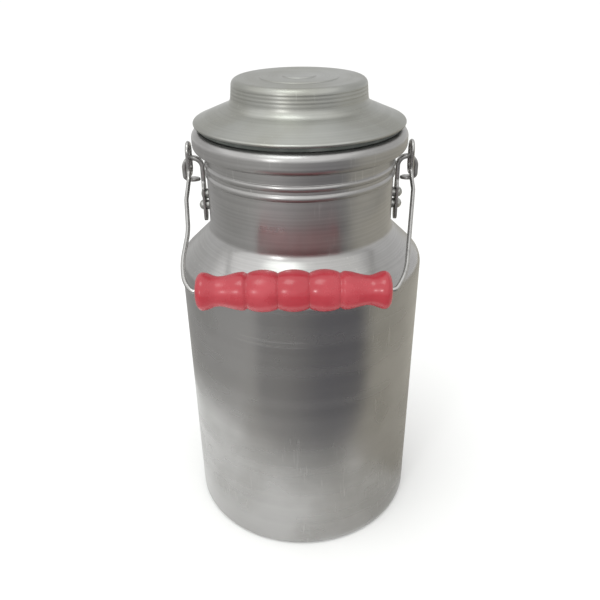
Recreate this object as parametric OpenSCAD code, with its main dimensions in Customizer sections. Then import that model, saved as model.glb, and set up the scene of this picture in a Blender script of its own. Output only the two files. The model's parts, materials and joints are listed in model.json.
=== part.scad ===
// Spun aluminium milk can with a lift-off lid and a swinging wire bail with a turned grip.
// Millimetres, +Z up, standing on z = 0, front of the can towards -Y.

/* [Body] */
// Outer diameter of the body
body_d = 150; // [110:1:220]
// Height at which the wall would meet the shoulder slope
wall_h = 183; // [110:1:320]
// Slope of the shoulder above the horizontal, degrees
shoulder_slope = 44; // [30:1:55]
// Thickness of the body sheet
sheet = 1.1; // [0.8:0.1:2]
// Radius of the corner between base and wall
base_r = 4; // [2:0.5:12]
// Radius of the corner between wall and shoulder
shoulder_r = 8; // [3:0.5:20]

/* [Neck and mouth] */
// Outer diameter of the neck
neck_d = 111; // [80:1:160]
// Height of the neck from the shoulder slope to the top of the mouth
neck_h = 59.3; // [45:0.1:90]
// Radius of the hollow inside the rolled mouth edge
roll_r = 3; // [2:0.1:5]
// Straight height of the rolled mouth edge
roll_h = 3.5; // [0:0.1:8]
// Depth of the upper raised bead below the top of the mouth
bead_drop = 19.8; // [15:0.1:30]
// Distance between the two raised beads
bead_pitch = 5.4; // [4.2:0.1:9]
// How far a bead stands out of the neck
bead_out = 1.1; // [0.4:0.1:1.4]

/* [Lid] */
// Outer diameter of the brim
brim_d = 122.1; // [90:0.1:170]
// Slope of the brim, degrees
brim_slope = 23; // [12:1:32]
// Outer diameter of the crown
crown_d = 77; // [50:1:100]
// Height of the crown top above the top of the mouth
crown_h = 27.1; // [22:0.1:45]
// Thickness of the lid sheet
lid_sheet = 1; // [0.8:0.1:1.6]
// Height of the brim edge above the mouth
brim_lift = 2.8; // [2:0.1:5]
// Depth of the collar inside the mouth
collar_depth = 18; // [10:0.5:25]

/* [Ears and rivets] */
// Width of the riveted plate of an ear
plate_w = 9; // [7:0.5:14]
// Width of the bar of an ear
bar_w = 4.4; // [3:0.1:6]
// Thickness of the bar of an ear
bar_t = 2.4; // [1.8:0.1:3.2]
// Centre-line radius of the arch of an ear
arch_r = 5.4; // [4.8:0.1:8]
// Depth of the arch centre below the top of the mouth
arch_drop = 23.8; // [20:0.1:30]
// Centre height of the eye below the arch centre
paddle_drop = 7.5; // [6.8:0.1:12]
// Gap between the neck and the plate of an ear
standoff = 1.8; // [1.3:0.1:3]
// Radius of a rivet shank
rivet_r = 1.6; // [1.2:0.1:2.4]
// Radius of a rivet head
head_r = 3.2; // [2.6:0.1:4.2]
// Height of a rivet head
head_h = 2.6; // [1.2:0.1:3.6]
// Distance between the two rivets of an ear
rivet_pitch = 7.1; // [6.6:0.1:12]

/* [Bail] */
// Diameter of the bail wire
wire_d = 2.5; // [2:0.1:4]
// Distance from the hinge line to the middle of the grip
bail_reach = 92.3; // [80:0.1:140]
// Half length of the end loops, to the middle of the wire
loop_l = 9.2; // [8:0.1:11]
// Half width of the end loops, to the middle of the wire
loop_w = 4.6; // [4.4:0.1:5.4]
// Distance by which the grip sits left of the middle
grip_shift = 3.9; // [0:0.1:8]

/* [Grip] */
// Length of the grip
grip_l = 101.5; // [80:0.5:120]
// Greatest radius of the grip
grip_r = 11.1; // [8:0.1:14]
// Running clearance between wire and bore, radial
grip_play = 0.06; // [0.03:0.01:0.1]

/* [Hidden] */
$fn = 64;
body_r = body_d / 2;
neck_r = neck_d / 2;
turn = 90 - shoulder_slope;
neck_z = wall_h + (body_r - neck_r) * tan(shoulder_slope);
mouth_z = neck_z + neck_h;
neck_fillet = 6;
roll_c = neck_r + roll_r;
roll_z = mouth_z - roll_r - sheet;
bead_half = 1.8;
bead_arc = (bead_half * bead_half + bead_out * bead_out) / (2 * bead_out);
bead_c = neck_r + bead_out - bead_arc;
// lid
edge_r = 1;
brim_r = brim_d / 2 - edge_r;
brim_z = mouth_z + brim_lift + edge_r;
crown_r = crown_d / 2;
crown_z = mouth_z + crown_h;
crown_edge = 3.6;
crown_fillet = 6;
crown_step = 0.45;
collar_r = neck_r - sheet - 0.5;
// ear
plate_t = 2;
plate_x = neck_r + standoff;
leg_x = plate_x + plate_t / 2;
arch_x = leg_x + arch_r;
arch_z = mouth_z - arch_drop;
curl_r = 2.8;
curl_z = arch_z - paddle_drop + curl_r;
rivet_z = mouth_z - 40.4;
plate_bottom = rivet_z - rivet_pitch - 10.1;
// bail
wire_r = wire_d / 2;
hinge_z = arch_z + arch_r - 0.5;
loop_x = arch_x + 2.1;
bend_r = 8;
contact = (body_r * cos(turn) + wall_h * sin(turn) + grip_r + 0.3 - hinge_z * sin(turn)) / bail_reach;
rest = turn + asin(contact);
grip_y = -bail_reach * sin(rest);
grip_z = hinge_z - bail_reach * cos(rest);
arm_v = [-grip_y - loop_w - bend_r, hinge_z - grip_z - (loop_l - loop_w)];
arm_a = atan2(arm_v[0], arm_v[1]) + asin(bend_r / norm(arm_v));
arm_l = sqrt(norm(arm_v) * norm(arm_v) - bend_r * bend_r);
wire_end = grip_l / 2 + 0.5;
right_out = loop_x - (wire_end - grip_shift);
left_out = loop_x - (wire_end + grip_shift);
// course of each arm from the grip to the ear: bend radius, heading at the start, heading at the end;
// a straight stretch has its length first and keeps its heading
right_course = [[3.5, 0, 57], [45, 57, 80.5], [52.1, 80.5, 80.5], [20, 80.5, 90]];
left_course = [[3.5, 0, 50], [20, 50, 78], [60, 78, 93], [10, 93, 93], [60, 93, 82], [16.7, 82, 82],
    [20, 82, 90]];

function arc(x, z, r, a, b, n = 6) =
    [for (i = [0:n]) [x + r * cos(a + (b - a) * i / n), z + r * sin(a + (b - a) * i / n)]];
function back(v) = [for (i = [len(v) - 1:-1:0]) v[i]];
function sum(v, i = 0) = i < len(v) ? v[i] + sum(v, i + 1) : 0;
// sideways and lengthwise travel of one stretch of an arm
function across(b) = b[1] == b[2] ? b[0] * cos(b[1]) : sign(b[2] - b[1]) * b[0] * (sin(b[2]) - sin(b[1]));
function along(b) = b[1] == b[2] ? b[0] * sin(b[1]) : b[0] * abs(cos(b[1]) - cos(b[2]));
// angle by which the whole course leans inwards so that it ends a distance out to the side;
// s is 1 while the last bend turns on towards 90 degrees and -1 when it turns back
function lean(v, out, s = 1) =
    let (n = len(v) - 1, mid = [for (i = [1:n - 1]) v[i]],
        a = v[0][0] * sin(v[0][2]) + sum([for (b = mid) across(b)]) - s * v[n][0] * sin(v[n][1]),
        b = v[0][0] * cos(v[0][2]) - sum([for (b = mid) along(b)]) - s * v[n][0] * cos(v[n][1]),
        d = atan2(b, a) + acos((out - s * v[n][0]) / norm([a, b])))
    s > 0 && v[n][1] + d > 90 ? lean(v, out, -1) : d;
function leaned(v, d) = [for (b = v) [b[0], b[1] == 0 ? 0 : b[1] + d, b[2] == 90 ? 90 : b[2] + d]];
// the stretches as steps for run(): a bend that turns the other way is rolled half a turn
function steps(v, i = 0, s = 1) = i == len(v) ? [] :
    let (turned = sign(v[i][2] - v[i][1]), now = turned == 0 ? s : turned)
    concat([[v[i][0], abs(v[i][2] - v[i][1]), now == s ? 0 : 180]], steps(v, i + 1, now));

// wall of the can up to the mouth, at a depth t inside the outer face
function shell(t) = concat(
    [[0, t]],
    arc(body_r - base_r, base_r, base_r - t, -90, 0),
    arc(body_r - shoulder_r, wall_h - shoulder_r * tan(turn / 2), shoulder_r - t, 0, turn),
    arc(neck_r + neck_fillet, neck_z + neck_fillet * tan(turn / 2), neck_fillet + t, 180 + turn, 180),
    bead(t, mouth_z - bead_drop - bead_pitch),
    bead(t, mouth_z - bead_drop));
// a bead keeps the sheet thickness until it runs out into the neck
function bead(t, z) =
    let (r = bead_arc - t, a = acos((neck_r - t - bead_c) / r))
    arc(bead_c, z, r, -a, a);
// rolled mouth edge, from the outer face of the neck round to its inner face
mouth = concat(
    arc(roll_c, roll_z, roll_r, 180, 0, 12),
    arc(roll_c, roll_z - roll_h, roll_r, 0, -145, 10),
    arc(roll_c, roll_z - roll_h, roll_r + sheet, -145, 0, 10),
    arc(roll_c, roll_z, roll_r + sheet, 0, 180, 12));
// lid sheet from the middle of the crown out to the brim edge, at a depth t inside the upper face
brim_top = brim_z + edge_r / cos(brim_slope);
crown_foot = brim_top + (brim_r - crown_r - 0.5) * tan(brim_slope);
fillet_up = crown_fillet * tan((90 - brim_slope) / 2);
function under(r) = brim_top + (brim_r - r) * tan(brim_slope) - lid_sheet / cos(brim_slope);
function lid_face(t) = concat(
    arc(crown_r - crown_edge, crown_z - crown_edge, crown_edge - t, 90, 0),
    arc(crown_r + 0.5 + crown_fillet, crown_foot + fillet_up, crown_fillet + t, 180, 270 - brim_slope));
crown_top = [[0, crown_z + 2 * crown_step], [9, crown_z + 2 * crown_step], [10, crown_z + crown_step],
    [22, crown_z + crown_step], [23, crown_z]];

module can_body() {
    color([0.78, 0.79, 0.8])
    difference() {
        rotate_extrude($fn = 128)
        polygon(concat(shell(0), mouth, back(shell(sheet))));
        for (s = [-1, 1], k = [0, 1])
            translate([s * neck_r, 0, rivet_z - k * rivet_pitch])
            rotate([0, 90, 0])
            cylinder(h = 12, r = rivet_r + 0.05, center = true);
    }
}

module lid_shell() {
    color([0.78, 0.79, 0.8])
    rotate_extrude($fn = 128)
    polygon(concat(crown_top, lid_face(0), arc(brim_r, brim_z, edge_r, 90 - brim_slope, -180, 12),
        [[brim_r - edge_r, under(brim_r - edge_r)]], back(lid_face(lid_sheet)), [[0, crown_z - lid_sheet]]));
}

module lid_collar() {
    inner = collar_r - lid_sheet;
    low = mouth_z - collar_depth;
    color([0.72, 0.73, 0.74])
    rotate_extrude($fn = 128)
    polygon([[inner - 0.8, low], [collar_r - 0.8, low], [collar_r, low + 2],
        [collar_r, under(collar_r) - 0.08], [inner, under(inner) - 0.08], [inner, low + 2]]);
}

module lid_gasket() {
    out = collar_r + 4.3;
    color([0.12, 0.12, 0.12])
    rotate_extrude($fn = 128)
    polygon([[collar_r + 0.05, mouth_z + 0.3], [out, mouth_z + 0.3],
        [out, under(out) - 0.05], [collar_r + 0.05, under(collar_r + 0.05) - 0.05]]);
}

// one ear, on the +X side: plate, arch, outer leg, curl and flat paddle
module ear() {
    paddle_z = curl_z - curl_r;
    leaf_w = 3.3;
    leaf_l = 4.3;
    leaf_r = (leaf_w * leaf_w + leaf_l * leaf_l) / (2 * leaf_w);
    tip = plate_x + plate_t + 0.7;
    difference() {
        union() {
            translate([plate_x, 0, 0])
            rotate([90, 0, 90])
            linear_extrude(plate_t) {
                translate([0, plate_bottom + plate_w / 2])
                circle(plate_w / 2);
                polygon([[-plate_w / 2, plate_bottom + plate_w / 2], [plate_w / 2, plate_bottom + plate_w / 2],
                    [plate_w / 2, rivet_z + 4.2], [bar_w / 2, rivet_z + 8.5],
                    [-bar_w / 2, rivet_z + 8.5], [-plate_w / 2, rivet_z + 4.2]]);
            }
            translate([leg_x - bar_t / 2, -bar_w / 2, rivet_z + 8])
            cube([bar_t, bar_w, arch_z - rivet_z - 8]);
            translate([arch_x, 0, arch_z])
            rotate([90, 0, 0])
            rotate_extrude(angle = 180)
            translate([arch_r - bar_t / 2, -bar_w / 2])
            square([bar_t, bar_w]);
            translate([arch_x + arch_r - bar_t / 2, -bar_w / 2, curl_z])
            cube([bar_t, bar_w, arch_z - curl_z]);
            translate([arch_x + arch_r - curl_r, 0, curl_z])
            rotate([90, 0, 0])
            rotate([0, 0, -90])
            rotate_extrude(angle = 90)
            translate([curl_r - bar_t / 2, -bar_w / 2])
            square([bar_t, bar_w]);
            translate([0, 0, paddle_z - 0.9])
            linear_extrude(1.8)
            intersection() {
                translate([tip + leaf_l, leaf_r - leaf_w])
                circle(leaf_r);
                translate([tip + leaf_l, leaf_w - leaf_r])
                circle(leaf_r);
                translate([tip - 1, -10])
                square([arch_x + arch_r - curl_r + 0.5 - tip + 1, 20]);
            }
        }
        for (k = [0, 1])
            translate([plate_x, 0, rivet_z - k * rivet_pitch])
            rotate([0, 90, 0])
            cylinder(h = 12, r = rivet_r + 0.05, center = true);
    }
}

module ear_left() {
    color([0.6, 0.6, 0.6])
    mirror([1, 0, 0])
    ear();
}

module ear_right() {
    color([0.6, 0.6, 0.6])
    ear();
}

// places a fastener along its own axis, on side s (-1 left, 1 right), k = 0 upper, 1 lower
module at_rivet(s, k) {
    translate([0, 0, rivet_z - k * rivet_pitch])
    mirror([s < 0 ? 1 : 0, 0, 0])
    rotate([0, 90, 0])
    children();
}

// low dome of radius r and height h, standing on z = 0
module dome(r, h) {
    ball = (r * r + h * h) / (2 * h);
    rotate_extrude()
    intersection() {
        translate([0, h - ball])
        circle(ball);
        square([r + 1, h + 1]);
    }
}

module rivet(s, k, h) {
    wall = neck_r - sheet;
    color([0.62, 0.62, 0.63])
    at_rivet(s, k) {
        translate([0, 0, wall - 1.2])
        cylinder(h = plate_x + plate_t - wall + 1.2, r = rivet_r);
        translate([0, 0, plate_x + plate_t])
        dome(head_r, h);
        translate([0, 0, wall - 1.2])
        mirror([0, 0, 1])
        dome(2.6, 1.1);
    }
}

module spacer(s, k) {
    color([0.55, 0.55, 0.56])
    difference() {
        at_rivet(s, k)
        difference() {
            cylinder(h = plate_x, r = 3);
            translate([0, 0, -1])
            cylinder(h = plate_x + 2, r = rivet_r + 0.05);
        }
        translate([0, 0, rivet_z - rivet_pitch - 10])
        cylinder(h = rivet_pitch + 20, r = neck_r + 0.02, $fn = 128);
    }
}

// flat washer that bears on the curved inner face of the neck along its edges
module burr(s, k) {
    wide = 3.4;
    seat = sqrt(pow(neck_r - sheet, 2) - wide * wide) - 0.02;
    color([0.55, 0.55, 0.56])
    at_rivet(s, k)
    translate([0, 0, neck_r - sheet - 1.2])
    difference() {
        cylinder(h = seat - neck_r + sheet + 1.2, r = wide);
        translate([0, 0, -1])
        cylinder(h = 5, r = rivet_r + 0.05);
    }
}

// runs the wire on from here: each step is a length or bend radius, a bend angle and a roll;
// every other step is a hair thinner and reaches a little into its neighbours
module run(steps, i = 0) {
    if (i < len(steps)) {
        r = steps[i][0];
        a = steps[i][1];
        thin = i % 2 == 0;
        wr = thin ? wire_r - 0.012 : wire_r;
        over = thin ? 0.1 : 0;
        rotate([0, 0, steps[i][2]]) {
            if (a == 0) {
                translate([0, 0, -over])
                cylinder(h = r + 2 * over, r = wr);
                translate([0, 0, r])
                run(steps, i + 1);
            } else {
                more = over / r * 180 / PI;
                translate([r, 0, 0])
                rotate([90, 0, 0])
                rotate([0, 0, 180 - a - more])
                rotate_extrude(angle = a + 2 * more)
                translate([r, 0])
                circle(wr);
                translate([r - r * cos(a), 0, r * sin(a)])
                rotate([0, a, 0])
                run(steps, i + 1);
            }
        }
    }
}

// closed loop at the ear, from the end of the arm: front leg, hairpin, back leg and closure
function loop(s) = [[bend_r, arm_a, 90 * s], [2 * (loop_l - loop_w), 0, 0], [loop_w, 180, 180],
    [2 * (loop_l - loop_w), 0, 0], [loop_w, 145, 0]];
// a whole arm that ends a distance out to the side of the end of the grip
function arm_steps(course, out) =
    let (v = leaned(course, lean(course, out)), e = v[len(v) - 1])
    concat(steps(v), [[arm_l - sum([for (b = v) along(b)]), 0, 0]], loop(sign(e[2] - e[1])));

// places an arm: its first step runs outwards along X from the end of the grip
module arm(x) {
    uy = sin(arm_a);
    uz = cos(arm_a);
    multmatrix([[0, 0, 1, x], [uy, -uz, 0, grip_y], [uz, uy, 0, grip_z], [0, 0, 0, 1]])
    children();
}

module bail_wire() {
    color([0.62, 0.63, 0.64])
    union() {
        translate([-wire_end - grip_shift, grip_y, grip_z])
        rotate([0, 90, 0])
        cylinder(h = 2 * wire_end, r = wire_r);
        arm(wire_end - grip_shift)
        run(arm_steps(right_course, right_out));
        mirror([1, 0, 0])
        arm(wire_end + grip_shift)
        run(arm_steps(left_course, left_out));
    }
}

// radius of the grip at u, from -1 at one end to 1 at the other
function ease(a, b, t) = a + (b - a) * (1 - cos(180 * t)) / 2;
function hump(t) = grip_r * (0.83 + 0.17 * pow(sin(180 * t), 0.7));
function grip_at(u) =
    let (v = abs(u))
    v < 0.16 ? hump(0.5 + v / 0.32) :
    v < 0.47 ? hump((v - 0.16) / 0.31) :
    v < 0.52 ? ease(grip_r * 0.83, grip_r * 0.91, (v - 0.47) / 0.05) :
    v < 0.77 ? ease(grip_r * 0.91, grip_r * 0.71, (v - 0.52) / 0.25) :
    v < 0.93 ? ease(grip_r * 0.71, grip_r * 0.9, (v - 0.77) / 0.16) :
    grip_r * (0.45 + 0.45 * sqrt(max(0, 1 - pow((v - 0.93) / 0.07, 2))));

module grip() {
    half = grip_l / 2;
    steps = 100;
    color([0.8, 0.3, 0.33])
    translate([-grip_shift, grip_y, grip_z])
    rotate([0, 90, 0])
    difference() {
        rotate_extrude()
        polygon(concat([[0, -half]], [for (i = [0:steps]) let (u = 2 * i / steps - 1) [grip_at(u), u * half]],
            [[0, half]]));
        cylinder(h = grip_l + 2, r = wire_r + grip_play, center = true);
    }
}

can_body();
lid_shell();
lid_collar();
lid_gasket();
ear_left();
ear_right();
rivet(-1, 0, 0.9);  // rivet_left_upper
rivet(-1, 1, head_h);  // rivet_left_lower
rivet(1, 0, head_h);  // rivet_right_upper
rivet(1, 1, head_h);  // rivet_right_lower
spacer(-1, 0);  // spacer_left_upper
spacer(-1, 1);  // spacer_left_lower
spacer(1, 0);  // spacer_right_upper
spacer(1, 1);  // spacer_right_lower
burr(-1, 0);  // burr_left_upper
burr(-1, 1);  // burr_left_lower
burr(1, 0);  // burr_right_upper
burr(1, 1);  // burr_right_lower
bail_wire();
grip();
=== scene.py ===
"""Looks of a spun aluminium milk can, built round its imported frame.

The can, lid, ears, rivets, bail and grip are surfaces worked out with numpy. Sizes are in metres,
in the frame's own axes: +Z up, the front of the can towards -Y, the bail resting at the front.
"""
import json
import math
from functools import partial

import bpy
import numpy as np
from mathutils import Matrix, Vector


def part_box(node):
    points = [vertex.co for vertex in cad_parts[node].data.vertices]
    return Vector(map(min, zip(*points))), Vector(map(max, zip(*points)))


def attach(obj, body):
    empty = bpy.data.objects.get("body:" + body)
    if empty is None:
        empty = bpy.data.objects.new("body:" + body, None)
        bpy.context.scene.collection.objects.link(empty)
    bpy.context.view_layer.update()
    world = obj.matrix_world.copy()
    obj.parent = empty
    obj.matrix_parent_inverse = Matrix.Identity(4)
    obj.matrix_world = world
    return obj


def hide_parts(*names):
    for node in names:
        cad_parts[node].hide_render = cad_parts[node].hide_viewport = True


bl_info = {
    "name": "Milk Can Looks",
    "version": (1, 0, 0),
    "blender": (4, 5, 0),
    "location": "3D View > Sidebar > Milk Can",
    "description": "A spun aluminium milk can with a lift-off lid and a turned grip on a wire bail",
    "category": "Object",
}

MM = 0.001
CREASE = 0.12 * MM  # distance of the support points from a crease
DOUBLE = 1e-7  # points closer than this, in metres, are one
AROUND_CAN, AROUND_LID, AROUND_RIVET, AROUND_GRIP = 192, 208, 48, 96  # points round each piece
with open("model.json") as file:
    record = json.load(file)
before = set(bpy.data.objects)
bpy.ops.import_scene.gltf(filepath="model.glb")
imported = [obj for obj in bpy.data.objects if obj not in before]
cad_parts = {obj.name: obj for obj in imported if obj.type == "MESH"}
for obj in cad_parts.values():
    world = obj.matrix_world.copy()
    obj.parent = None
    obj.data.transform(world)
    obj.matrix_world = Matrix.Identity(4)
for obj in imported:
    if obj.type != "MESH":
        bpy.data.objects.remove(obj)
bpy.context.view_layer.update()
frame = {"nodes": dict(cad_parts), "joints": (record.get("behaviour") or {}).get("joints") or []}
JOINTS = {joint["name"]: joint for joint in frame["joints"]}


def low(node):
    """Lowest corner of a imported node, as an array."""
    return np.array(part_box(node)[0])


def high(node):
    """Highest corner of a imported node, as an array."""
    return np.array(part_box(node)[1])


def length(label, text, millimetres):
    """A size property whose default is given in millimetres."""
    return bpy.props.FloatProperty(
        name=label, description=text, default=millimetres * MM, min=0, unit="LENGTH", precision=5)


def colour(label, text, hex_value):
    """A colour property whose default is an sRGB hex value."""
    return bpy.props.FloatVectorProperty(
        name=label, description=text, default=linear(hex_value), subtype="COLOR",
        size=4, min=0, max=1)


def linear(hex_value):
    """Linear red, green, blue and alpha of an sRGB hex value: the curve is a power of 2.4 above
    a short straight foot."""
    srgb = np.array([int(hex_value[i:i + 2], 16) / 255 for i in (0, 2, 4)])
    rgb = np.where(srgb <= 0.04045, srgb / 12.92, ((srgb + 0.055) / 1.055) ** 2.4)
    return (*rgb.tolist(), 1.0)


# ---- Sizes and colours that a user would change

class CanSizes(bpy.types.PropertyGroup):
    """Sizes of the can."""
    sheet: length("Sheet", "Thickness of the can's sheet", 1.1)
    neck_radius: length("Neck radius", "Outer radius of the neck", 55.5)
    wall_height: length("Wall height", "Height where the wall would meet the shoulder slope", 183)
    shoulder_slope: bpy.props.FloatProperty(
        name="Shoulder slope", description="Slope of the shoulder above the horizontal",
        default=math.radians(44), subtype="ANGLE")
    base_radius: length("Base corner", "Radius of the corner between base and wall", 4)
    shoulder_radius: length("Shoulder corner", "Radius of the corner between wall and shoulder", 8)
    neck_fillet: length("Neck fillet", "Radius of the hollow between shoulder and neck", 6)
    roll_radius: length("Mouth roll", "Radius of the hollow inside the rolled mouth edge", 3)
    roll_height: length("Mouth roll height", "Straight height of the rolled mouth edge", 3.5)
    bead_drop: length("Bead drop", "Depth of the upper bead below the mouth", 19.8)
    bead_pitch: length("Bead pitch", "Distance between the beads", 5.4)
    bead_out: length("Bead height", "How far a bead stands out of the neck", 0.9)
    bead_half: length("Bead half width", "Half the width of a bead", 1.8)
    dent: length("Unevenness", "Depth of the unevenness of the hand-spun wall", 0.12)
    score_height: length(
        "Score height", "Height of the upper of two short lines scored into the front", 159.9)
    score_pitch: length("Score pitch", "Distance between the two scored lines", 3.3)
    score_depth: length("Score depth", "Depth of the two scored lines", 0.15)


class LidSizes(bpy.types.PropertyGroup):
    """Sizes of the lid."""
    sheet: length("Lid sheet", "Thickness of the lid's sheet", 1)
    brim_slope: bpy.props.FloatProperty(
        name="Brim slope", description="Slope of the brim below the horizontal",
        default=math.radians(23), subtype="ANGLE")
    edge_radius: length("Brim edge", "Radius of the folded brim edge", 1)
    crown_radius: length("Crown radius", "Outer radius of the crown", 38.5)
    crown_edge: length("Crown edge", "Radius between the crown's top and side", 3.6)
    crown_fillet: length("Crown fillet", "Radius of the hollow at the foot of the crown", 6)
    crown_step: length("Crown step", "Height of each turned step on the crown", 0.45)
    inner_step: length("Inner step", "Radius of the inner turned step", 9.5)
    outer_step: length("Outer step", "Radius of the outer turned step", 22.5)
    band_pitch: length("Band pitch", "Distance between the bands round the crown", 1.9)
    band_depth: length("Band depth", "Depth of the bands round the crown", 0.07)


class FittingSizes(bpy.types.PropertyGroup):
    """Sizes of the ears and the rivets."""
    plate_width: length("Plate width", "Width of the riveted plate of an ear", 9)
    plate_thick: length("Plate thickness", "Thickness of the riveted plate of an ear", 2)
    bar_width: length("Bar width", "Width of the bar of an ear", 4.4)
    bar_thick: length("Bar thickness", "Thickness of the bar of an ear", 2.4)
    arch_radius: length("Arch radius", "Centre-line radius of the arch of an ear", 5.4)
    curl_radius: length("Curl radius", "Centre-line radius of the curl at the end of an ear", 2.8)
    leaf_half_width: length("Leaf half width", "Half width of the hammered leaf of an ear", 3.3)
    leaf_half_length: length("Leaf half length", "Half length of the hammered leaf of an ear", 4.3)
    leaf_thick: length("Leaf thickness", "Thickness of the hammered leaf of an ear", 1.8)
    leaf_drop: length("Leaf drop", "Height of the arch's centre above the leaf", 7.5)
    rivet_head: length("Rivet head", "Radius of a rivet's outer head", 3.2)
    rivet_shank: length("Rivet shank", "Radius of a rivet's shank", 1.6)
    rivet_tail: length("Rivet tail", "Radius of a rivet's inner head", 2.6)
    rivet_tail_height: length("Rivet tail height", "Height of a rivet's inner head", 1.1)


class BailSizes(bpy.types.PropertyGroup):
    """Sizes of the bail wire and of the grip's bore."""
    wire: length("Wire radius", "Radius of the bail wire", 1.25)
    elbow: length("Elbow radius", "Bend radius where an arm turns up into its loop", 8)
    loop_half_length: length(
        "Loop half length", "Half length of an end loop, to the middle of the wire", 9.2)
    loop_half_width: length(
        "Loop half width", "Half width of an end loop, to the middle of the wire", 4.6)
    bore_play: length("Bore play", "Radial clearance between the wire and the grip", 0.06)


class CanColours(bpy.types.PropertyGroup):
    """Colours of every material."""
    aluminium: colour("Aluminium", "Spun aluminium of the can", "B0AFAE")
    aluminium_dull: colour("Dull aluminium", "Oxidised patches of the can", "A3A2A0")
    lid: colour("Lid aluminium", "Spun aluminium of the lid", "A6A7A3")
    lid_dull: colour("Dull lid aluminium", "Oxidised patches of the lid", "999992")
    steel: colour("Zinc-plated steel", "Plated strip of the ears", "B8B7B5")
    steel_dull: colour("Dull zinc", "Greyed patches of the plated steel", "969593")
    rivet: colour("Rivet aluminium", "Soft aluminium of the rivets, spacers and burrs", "BDBDBA")
    rivet_dull: colour("Dull rivet aluminium", "Oxidised places of the rivets", "9A9A96")
    wire: colour("Drawn wire", "Zinc-plated wire of the bail", "B0AFAD")
    rubber: colour("Rubber", "Gasket of the lid", "4A4F4B")
    grip: colour("Grip", "Lacquer of the grip", "A3303A")
    grip_worn: colour("Worn grip", "Rubbed places of the grip", "AF3E47")
    floor: colour("Floor", "Plain pale floor", "F4F4F3")


GROUPS = (("can_sizes", CanSizes), ("lid_sizes", LidSizes), ("fitting_sizes", FittingSizes),
          ("bail_sizes", BailSizes), ("can_colours", CanColours))


# ---- Outlines and surfaces

def arc(centre, radius, start, end, spacing):
    """Points on a circle: centre + radius (cos a, sin a), a running evenly from start to end."""
    count = max(3, math.ceil(abs(end - start) * radius / spacing) + 1)
    a = np.linspace(start, end, count)
    return np.column_stack([centre[0] + radius * np.cos(a), centre[1] + radius * np.sin(a)])


def gaps(points):
    """Lengths of the straight steps of an outline."""
    return np.hypot(*np.diff(points, axis=0).T)


def joined(parts, spacing):
    """One outline through all the parts. A long straight gap gets a point close to each of its
    ends, which keeps the shading of a crease narrow, and then evenly spaced points."""
    points = np.vstack([np.atleast_2d(np.array(part, float)) for part in parts])
    points = points[np.concatenate([[True], gaps(points) > DOUBLE])]
    steps = gaps(points)
    long = np.flatnonzero(steps > 6 * CREASE)
    toward = np.diff(points, axis=0)[long] / steps[long, None] * CREASE
    extra = np.stack([points[long] + toward, points[long + 1] - toward], axis=1).reshape(-1, 2)
    points = np.insert(points, np.repeat(long + 1, 2), extra, axis=0)
    steps = gaps(points)
    counts = np.maximum(1, np.ceil(steps / spacing)).astype(int)
    at = np.concatenate([np.linspace(i, i + 1, n, endpoint=False)
                         for i, n in enumerate(counts)] + [[len(steps)]])
    index = np.arange(len(points))
    return np.column_stack([np.interp(at, index, points[:, k]) for k in (0, 1)])


def backwards(parts):
    """The same outline parts, run the other way."""
    return [np.atleast_2d(np.array(part, float))[::-1] for part in parts][::-1]


def along(outline):
    """Distance travelled along an outline at each of its points."""
    return np.concatenate([[0], np.cumsum(np.linalg.norm(np.diff(outline, axis=0), axis=1))])


def tangents(line):
    """Unit directions along a line at each of its points."""
    along_line = np.gradient(line, along(line), axis=0)
    return along_line / np.linalg.norm(along_line, axis=1)[:, None]


def smooth(low_edge, high_edge, x):
    """Smooth step from 0 to 1 as x runs between the edges: 3 t squared minus 2 t cubed."""
    t = np.clip((x - low_edge) / (high_edge - low_edge), 0, 1)
    return t * t * (3 - 2 * t)


def grid_faces(rows, columns, row_wrap=False):
    """Quads of a grid whose columns close on themselves, and whose rows do too with row_wrap."""
    i = np.arange(rows if row_wrap else rows - 1)[:, None]
    j = np.arange(columns)[None, :]
    i2, j2 = (i + 1) % rows, (j + 1) % columns
    corners = [i * columns + j, i * columns + j2, i2 * columns + j2, i2 * columns + j]
    return np.stack(corners, axis=-1).reshape(-1, 4)


def end_fans(rows, columns):
    """Triangles that close both ends of a grid, each with one of the two points after the grid."""
    j = np.arange(columns)
    next_j = (j + 1) % columns
    start, last = rows * columns, (rows - 1) * columns
    return np.vstack([np.column_stack([np.full(columns, start), next_j, j]),
                      np.column_stack([np.full(columns, start + 1), last + j, last + next_j])])


def place_in_scene(name, data):
    """A new object with that data, linked to the scene."""
    made = bpy.data.objects.new(name, data)
    bpy.context.scene.collection.objects.link(made)
    return made


def make_piece(name, points, quads, triangles, attributes):
    """A smooth shaded mesh object at the origin, from arrays of points and faces, with one number
    a point for each attribute."""
    mesh = bpy.data.meshes.new(name)
    loops = np.concatenate([quads.ravel(), triangles.ravel()]).astype(np.int32)
    sizes = np.concatenate([np.full(len(quads), 4), np.full(len(triangles), 3)])
    mesh.vertices.add(len(points))
    mesh.vertices.foreach_set("co", points.astype(np.float32).ravel())
    mesh.loops.add(len(loops))
    mesh.loops.foreach_set("vertex_index", loops)
    mesh.polygons.add(len(sizes))
    mesh.polygons.foreach_set("loop_start", (np.cumsum(sizes) - sizes).astype(np.int32))
    mesh.update(calc_edges=True)
    mesh.polygons.foreach_set("use_smooth", np.ones(len(sizes), bool))
    for key, values in attributes.items():
        layer = mesh.attributes.new(key, "FLOAT", "POINT")
        layer.data.foreach_set("value", values.astype(np.float32))
    mesh.validate()
    return place_in_scene(name, mesh)


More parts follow.
